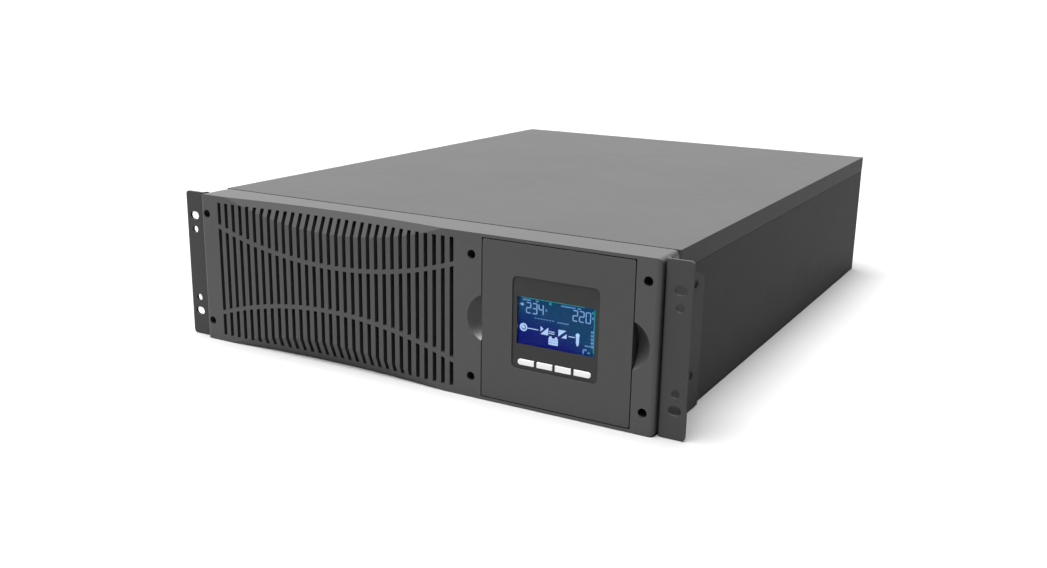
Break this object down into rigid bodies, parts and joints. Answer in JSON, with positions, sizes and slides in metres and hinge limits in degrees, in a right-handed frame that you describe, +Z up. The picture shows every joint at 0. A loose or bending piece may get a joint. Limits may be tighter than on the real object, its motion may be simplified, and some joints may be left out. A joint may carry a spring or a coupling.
{
  "type": "uninterruptible power supply",
  "caption": "Rack-mount uninterruptible power supply with a slotted front grille, a square pull-out display panel with keys, rack ears, batteries, power boards and rear fans",
  "frame": {"origin": "centre of the footprint, on the surface the unit stands on", "axes": "+X to the right seen from the front, +Y from the front towards the rear, +Z up"},
  "size_m": [0.4826, 0.618, 0.1326],
  "materials": {
    "bezel_plastic": "fine-textured moulded plastic, satin",
    "case_paint": "powder-coated steel, satin",
    "cover_paint": "powder-coated steel, satin",
    "ear_paint": "powder-coated steel, satin",
    "panel_plastic": "fine-textured moulded plastic, satin",
    "surround_plastic": "dark satin plastic",
    "display_glass": "clear",
    "display_blue": "lit liquid-crystal display",
    "key_white": "smooth",
    "black_plastic": "satin",
    "black_screw": "black oxide",
    "filter_foam": "open-cell foam",
    "bright_steel": "plated",
    "zinc_plate": "zinc plated",
    "sink_aluminium": "extruded",
    "winding_copper": "enamelled copper",
    "terminal_brass": "bright",
    "board_green": "solder resist",
    "capacitor_sleeve": "shrink sleeve",
    "ferrite": "matt",
    "film_yellow": "moulded",
    "battery_case": "moulded",
    "connector_red": "moulded",
    "connector_green": "moulded"
  },
  "bodies": {
    "case": {"base_tray": "case_paint", "top_cover": "cover_paint", "rear_panel": "case_paint", "front_frame": "zinc_plate", "front_bezel": "bezel_plastic", "dust_filter": "filter_foam", "bezel_screws": "black_screw", "rack_ear_left": "ear_paint", "rack_ear_right": "ear_paint", "ear_screws": "black_screw", "cover_screws": "black_screw", "panel_pocket": "black_plastic", "battery_tray": "zinc_plate", "battery_blocks": "battery_case", "battery_terminals": "terminal_brass", "battery_links": "winding_copper", "battery_retainer": "zinc_plate", "power_board": "board_green", "heat_sinks": "sink_aluminium", "toroid_chokes": "winding_copper", "dc_capacitors": "capacitor_sleeve", "transformer": "ferrite", "relays": "black_plastic", "mains_filter": "film_yellow", "control_board": "board_green", "board_standoffs": "terminal_brass", "fan_housing_left": "black_plastic", "fan_housing_right": "black_plastic", "fan_guards": "bright_steel", "fan_screws": "zinc_plate", "slot_cover": "case_paint", "slot_screws": "zinc_plate", "serial_port": "bright_steel", "usb_port": "bright_steel", "emergency_off_connector": "connector_green", "battery_socket": "connector_red", "output_sockets": "black_plastic", "terminal_block": "black_plastic", "terminal_cover": "case_paint", "terminal_screws": "zinc_plate", "cable_glands": "black_plastic", "breaker_body": "black_plastic", "ground_stud": "terminal_brass"},
    "panel": {"display_panel": "panel_plastic", "display_back_cover": "black_plastic", "panel_latches": "black_plastic", "display_surround": "surround_plastic", "display_lens": "display_glass", "lcd_module": "display_blue", "display_board": "board_green", "panel_screws": "bright_steel", "key_switches": "black_plastic"},
    "key_escape": {"key_escape": "key_white"},
    "key_up": {"key_up": "key_white"},
    "key_down": {"key_down": "key_white"},
    "key_enter": {"key_enter": "key_white"},
    "rotor_left": {"fan_rotor_left": "black_plastic"},
    "rotor_right": {"fan_rotor_right": "black_plastic"},
    "lever": {"breaker_lever": "black_plastic"}
  },
  "joints": [
    {"name": "panel_pull", "type": "slide", "parent": "case", "child": "panel", "axis": [0, -1, 0], "range_m": [0, 0.018]},
    {"name": "key_escape_press", "type": "slide", "parent": "panel", "child": "key_escape", "axis": [0, 1, 0], "range_m": [0, 0.0008], "stiffness_N_per_m": 500, "springref_m": -0.0006},
    {"name": "key_up_press", "type": "slide", "parent": "panel", "child": "key_up", "axis": [0, 1, 0], "range_m": [0, 0.0008], "stiffness_N_per_m": 500, "springref_m": -0.0006},
    {"name": "key_down_press", "type": "slide", "parent": "panel", "child": "key_down", "axis": [0, 1, 0], "range_m": [0, 0.0008], "stiffness_N_per_m": 500, "springref_m": -0.0006},
    {"name": "key_enter_press", "type": "slide", "parent": "panel", "child": "key_enter", "axis": [0, 1, 0], "range_m": [0, 0.0008], "stiffness_N_per_m": 500, "springref_m": -0.0006},
    {"name": "fan_left_spin", "type": "hinge", "parent": "case", "child": "rotor_left", "pos_m": [-0.165, 0.276, 0.066], "axis": [0, 1, 0], "continuous": true},
    {"name": "fan_right_spin", "type": "hinge", "parent": "case", "child": "rotor_right", "pos_m": [-0.075, 0.276, 0.066], "axis": [0, 1, 0], "continuous": true},
    {"name": "breaker_lever_tilt", "type": "hinge", "parent": "case", "child": "lever", "pos_m": [0.106, 0.289, 0.045], "axis": [1, 0, 0], "range_deg": [-50, 0]}
  ]
}
